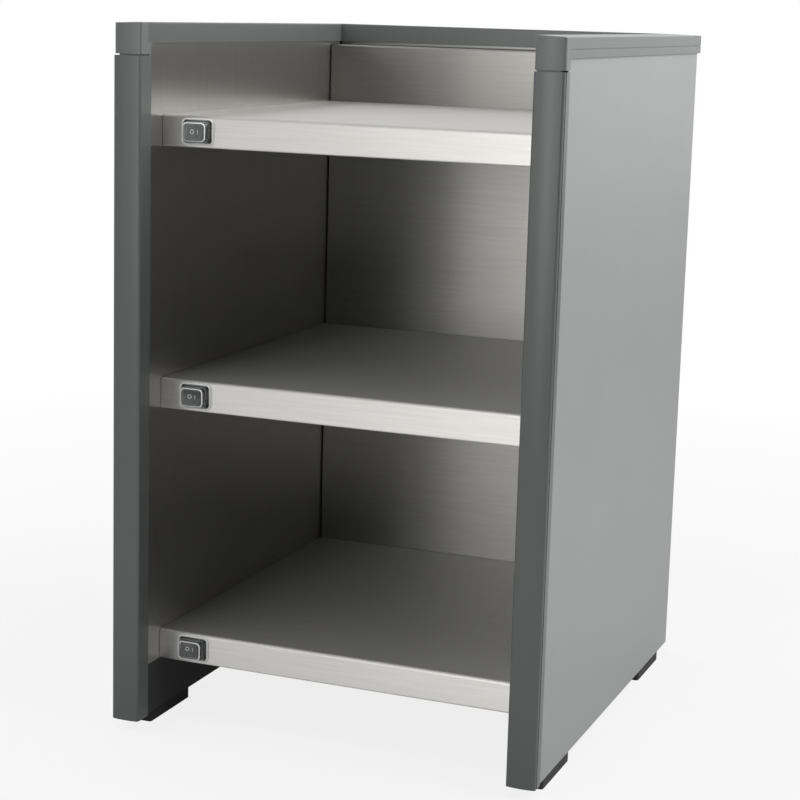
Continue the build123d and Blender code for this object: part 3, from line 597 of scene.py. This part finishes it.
# Nickel plated brass. The eye gets a warm bright metal, dulled in rub marks of 0.8 mm.
pin_rub = 0.000833
plated, tree, shader = material("nickel plated brass pin", "#c9c4b8", Metallic=1.0, Roughness=0.22)
place = add(tree, "ShaderNodeTexCoord").outputs["Object"]
rub = add(tree, "ShaderNodeTexNoise", ("Vector", place), Scale=1 / pin_rub)
gloss = add(tree, "ShaderNodeMapRange", ("Value", rub.outputs["Fac"]), To_Min=0.16, To_Max=0.3)
tree.links.new(shader.inputs["Roughness"], gloss.outputs[0])
finish_nodes(["inlet_pins"], plated)


# Screws of the rear cover and the mains inlet. Pan heads, cold headed from
# steel wire; six hold the cover at its edges and two hold the inlet's ears.

# Zinc plating. The eye gets a bluish bright metal, dulled in rub marks of 0.7 mm.
screw_rub = 0.000667
zinc_screw, tree, shader = material("zinc plated screw", "#b9babb", Metallic=1.0, Roughness=0.28)
place = add(tree, "ShaderNodeTexCoord").outputs["Object"]
rub = add(tree, "ShaderNodeTexNoise", ("Vector", place), Scale=1 / screw_rub)
gloss = add(tree, "ShaderNodeMapRange", ("Value", rub.outputs["Fac"]), To_Min=0.2, To_Max=0.38)
tree.links.new(shader.inputs["Roughness"], gloss.outputs[0])

# A head's proportions: its height and its cross to its radius, then the rings
# of its crown as radius and height, from the rim up.
head_height = 0.62
cross_reach = 0.5
cross_width = 0.17
crown = ((1.0, 0.55), (0.88, 0.85), (0.62, 1.0))
cross_proud = 1.01
cross_depth = 0.04
head_sides = 32


def pan_heads(name, places, radius, turn):
    """Pan heads at each place in one mesh; their cross shows as two thin bars on the crown."""
    heads = bmesh.new()
    height = radius * head_height
    for place in places:
        before = set(heads.verts)
        bmesh.ops.create_circle(heads, segments=head_sides, radius=radius, cap_ends=True)
        top = next(f for f in heads.faces if len(f.verts) == head_sides and f.verts[0] not in before)
        grown = 1.0
        risen = 0.0
        for grow, rise in crown:
            top = bmesh.ops.extrude_discrete_faces(heads, faces=[top])["faces"][0]
            bmesh.ops.scale(heads, vec=(grow / grown, grow / grown, 1), verts=top.verts[:])
            bmesh.ops.translate(heads, vec=(0, 0, height * (rise - risen)), verts=top.verts[:])
            grown = grow
            risen = rise
        head = [v for v in heads.verts if v not in before]
        for across, down in ((cross_reach, cross_width), (cross_width, cross_reach)):
            bar = bmesh.ops.create_cube(heads, size=1.0)["verts"]
            bmesh.ops.scale(heads, verts=bar,
                            vec=(radius * across * 2, radius * down * 2, height * cross_depth))
            bmesh.ops.translate(heads, vec=(0, 0, height * cross_proud), verts=bar)
            head += bar
        bmesh.ops.transform(heads, matrix=Matrix.Translation(place) @ turn, verts=head)
    bmesh.ops.recalc_face_normals(heads, faces=heads.faces[:])
    made = piece(name, heads, "cabinet", zinc_screw, smooth=False)


cover_head = 0.0037
cover_edge = 0.007
lowest_row = 0.045
rows_short = 0.11
inlet_head = 0.0028
inlet_ear = 0.02
outwards = Matrix.Rotation(math.radians(-90), 4, "X")
cover_low, cover_high = (Vector(c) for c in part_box("back_cover"))
row_gap = (cover_high.z - cover_low.z - rows_short) / 2
rows = [cover_low.z + lowest_row + row * row_gap for row in range(3)]
columns = (cover_low.x + cover_edge, cover_high.x - cover_edge)
pan_heads("rear_cover_screw_heads", [(x, cover_high.y, z) for z in rows for x in columns],
          cover_head, outwards)
inlet_low, inlet_high = (Vector(c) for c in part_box("mains_inlet"))
inlet_middle = (inlet_low + inlet_high) / 2
pan_heads("inlet_screw_heads",
          [(inlet_middle.x + side, inlet_high.y, inlet_middle.z) for side in (-inlet_ear, inlet_ear)],
          inlet_head, outwards)
